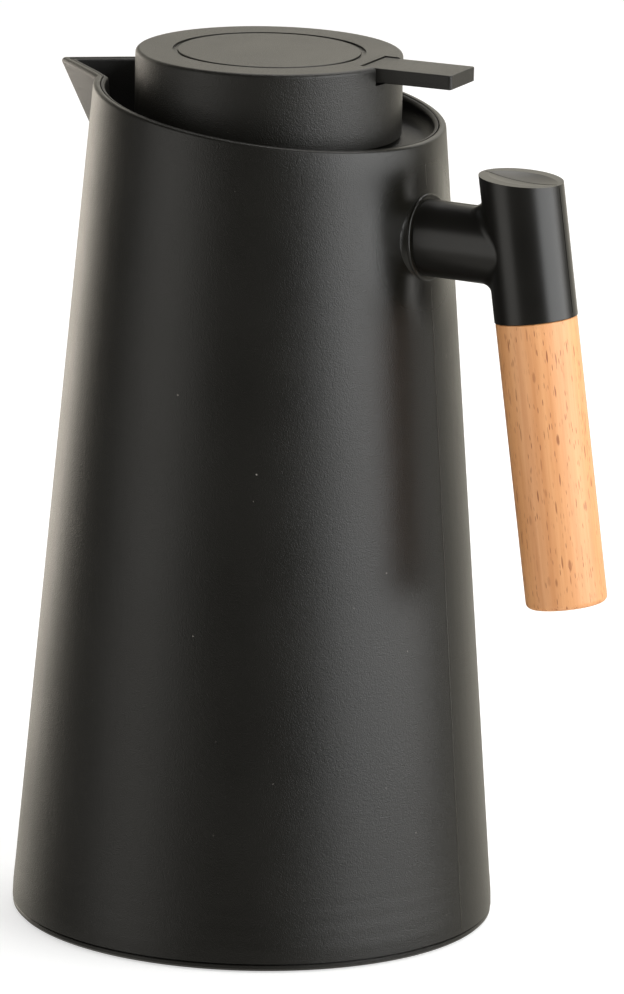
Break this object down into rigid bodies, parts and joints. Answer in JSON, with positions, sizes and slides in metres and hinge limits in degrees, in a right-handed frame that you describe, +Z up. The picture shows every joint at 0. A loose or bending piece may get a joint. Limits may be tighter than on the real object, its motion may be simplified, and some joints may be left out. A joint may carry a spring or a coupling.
{
  "type": "thermal carafe",
  "caption": "Tapered thermal carafe with a V-shaped beak, a screw-in stopper lid poured by a thumb lever, and an upright round wooden grip on a side arm.",
  "frame": {"origin": "centre of the foot's resting face, on the body axis", "axes": "+Z up along the body axis, +X towards the handle, -X towards the beak"},
  "size_m": [0.1959, 0.1504, 0.2733],
  "materials": {
    "body_plastic": "fine satin grain",
    "lid_plastic": "fine satin grain",
    "arm_plastic": "smooth semi-matte",
    "inner_plastic": "smooth moulded",
    "beech": "oiled, fine flecks along the grain",
    "flask_glass": "clear, silvered on the vacuum side",
    "silicone": "soft matte",
    "foot_rubber": "soft matte",
    "steel": "plain turned",
    "spring_steel": "drawn wire",
    "brass": "turned"
  },
  "bodies": {
    "carafe": {"outer_shell": "body_plastic", "pouring_collar": "body_plastic", "neck_ring": "inner_plastic", "neck_gasket": "silicone", "inner_bottle": "flask_glass", "outer_bottle": "flask_glass", "liner_spacers": "silicone", "base_plate": "body_plastic", "base_pad": "foot_rubber", "base_cushion": "silicone", "arm_bracket": "arm_plastic", "arm_backing_plate": "steel", "arm_screws": "steel", "arm_inserts": "brass", "wooden_grip": "beech", "grip_stud": "steel", "head_insert": "brass", "grip_insert": "brass"},
    "seal": {"stopper_seal": "silicone"},
    "lid": {"stopper_body": "inner_plastic", "mechanism_carrier": "inner_plastic", "carrier_screws": "steel", "lid_cap": "lid_plastic", "lid_disc": "lid_plastic", "lever_pin": "steel", "stem_ring": "silicone"},
    "lever": {"thumb_lever": "lid_plastic"},
    "valve": {"valve_stem": "steel", "valve_head": "inner_plastic", "valve_seal": "silicone", "lift_collar": "steel", "stem_clip": "steel", "valve_spring": "spring_steel"}
  },
  "joints": [
    {"name": "lid_rise", "type": "slide", "parent": "carafe", "child": "seal", "axis": [0, 0, 1], "range_m": [0, 0.01]},
    {"name": "lid_unscrew", "type": "hinge", "parent": "seal", "child": "lid", "pos_m": [0, 0, 0.24], "axis": [0, 0, 1], "range_deg": [0, 450]},
    {"name": "lever_press", "type": "hinge", "parent": "lid", "child": "lever", "pos_m": [0.03486, 0.00311, 0.2648], "axis": [-0.0889, 0.996, 0], "range_deg": [0, 8], "stiffness_Nm_per_rad": 0.76, "springref_deg": -6.88},
    {"name": "valve_lift", "type": "slide", "parent": "lid", "child": "valve", "axis": [0, 0, 1], "range_m": [0, 0.005], "deforming": ["valve_spring"]}
  ],
  "couplings": [
    {"joint": "lid_unscrew", "follows": "lid_rise", "rad_per_m": 785.4},
    {"joint": "lever_press", "follows": "valve_lift", "rad_per_m": 27.925}
  ]
}
